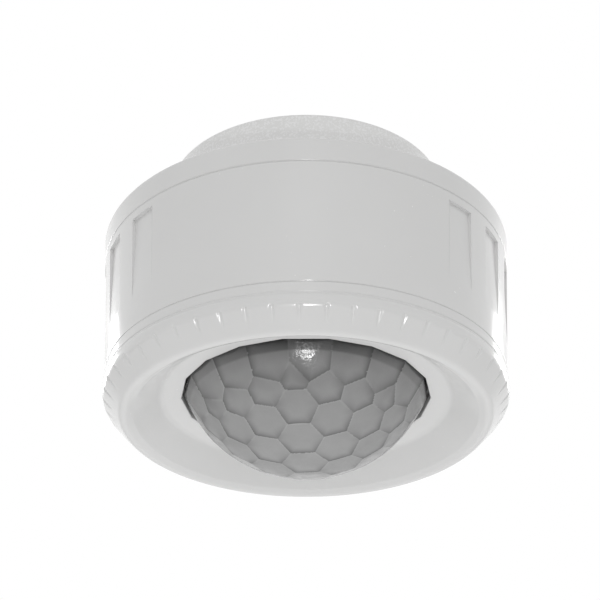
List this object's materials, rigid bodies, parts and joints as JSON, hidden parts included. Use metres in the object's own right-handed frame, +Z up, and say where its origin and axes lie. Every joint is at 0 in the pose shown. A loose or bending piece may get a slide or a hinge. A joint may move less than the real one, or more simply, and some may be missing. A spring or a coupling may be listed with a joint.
{
  "type": "pir motion sensor",
  "caption": "Round ceiling motion sensor: a white drum on a narrow screw-down neck, with a ribbed twist-off bezel round a faceted grey Fresnel dome.",
  "frame": {"origin": "centre of the face of the mounting base that lies on the ceiling", "axes": "+Z up into the ceiling along the sensor's axis, -Z down to the lens, -Y the side of the setting dials, +X along the two mounting slots"},
  "size_m": [0.0998, 0.0998, 0.0762],
  "materials": {
    "shell_plastic": "satin white",
    "base_plastic": "satin white",
    "lens_plastic": "translucent grey-white",
    "clamp_plastic": "satin white",
    "rubber": "matt",
    "terminal_plastic": "matt grey",
    "brass": "bright",
    "spring_metal": "bright",
    "screw_steel": "zinc plated",
    "board": "solder resist",
    "spacer_plastic": "matt",
    "relay_case": "moulded",
    "film_case": "moulded",
    "can_sleeve": "shrink sleeve",
    "varistor_coat": "dipped epoxy",
    "fuse_glass": "clear",
    "ferrite": "sintered",
    "chip_case": "moulded",
    "header_plastic": "moulded",
    "can_metal": "nickel plated",
    "window": "infrared window",
    "lead_metal": "plated",
    "led_resin": "tinted resin",
    "photo_resin": "clear resin",
    "trimmer_case": "moulded",
    "dial_plastic": "satin white",
    "switch_case": "moulded",
    "button_plastic": "red"
  },
  "bodies": {
    "base": {"mounting_base": "base_plastic", "cable_grommet": "rubber", "terminal_block": "terminal_plastic", "terminal_cages": "brass", "terminal_screws": "screw_steel", "terminal_block_screws": "screw_steel", "contact_springs": "spring_metal"},
    "head": {"contact_pads": "spring_metal", "rear_cover": "shell_plastic", "main_housing": "shell_plastic", "lens_dome": "lens_plastic", "lens_retainer": "clamp_plastic", "retainer_screws": "screw_steel", "housing_screws": "screw_steel", "power_board": "board", "sensor_board": "board", "board_spacers": "spacer_plastic", "relay": "relay_case", "film_capacitor": "film_case", "reservoir_capacitor": "can_sleeve", "varistor": "varistor_coat", "fuse": "fuse_glass", "choke": "ferrite", "bridge_rectifier": "chip_case", "sensor_holder": "spacer_plastic", "pir_can": "can_metal", "pir_window": "window", "pir_leads": "lead_metal", "light_sensor": "photo_resin", "status_led": "led_resin", "pin_header": "header_plastic", "controller_chip": "chip_case", "amplifier_chip": "chip_case", "regulator": "chip_case", "time_trimmer": "trimmer_case", "lux_trimmer": "trimmer_case", "range_trimmer": "trimmer_case", "test_switch": "switch_case"},
    "bezel": {"bezel_ring": "shell_plastic"},
    "time_dial": {"time_dial": "dial_plastic"},
    "lux_dial": {"lux_dial": "dial_plastic"},
    "range_dial": {"range_dial": "dial_plastic"},
    "button": {"test_button": "button_plastic", "switch_plunger": "header_plastic"}
  },
  "joints": [
    {"name": "head_twist", "type": "hinge", "parent": "base", "child": "head", "pos_m": [0, 0, -0.0139], "axis": [0, 0, 1], "range_deg": [0, 22]},
    {"name": "bezel_twist", "type": "hinge", "parent": "head", "child": "bezel", "pos_m": [0, 0, -0.0563], "axis": [0, 0, 1], "range_deg": [0, 15]},
    {"name": "time_dial_turn", "type": "hinge", "parent": "head", "child": "time_dial", "pos_m": [-0.01627, -0.03654, -0.0548], "axis": [0, 0, 1], "range_deg": [-135, 135]},
    {"name": "lux_dial_turn", "type": "hinge", "parent": "head", "child": "lux_dial", "pos_m": [0, -0.04, -0.0548], "axis": [0, 0, 1], "range_deg": [-135, 135]},
    {"name": "range_dial_turn", "type": "hinge", "parent": "head", "child": "range_dial", "pos_m": [0.01627, -0.03654, -0.0548], "axis": [0, 0, 1], "range_deg": [-135, 135]},
    {"name": "test_button_press", "type": "slide", "parent": "head", "child": "button", "axis": [0, 0, 1], "range_m": [0, 0.0005], "stiffness_N_per_m": 500}
  ]
}
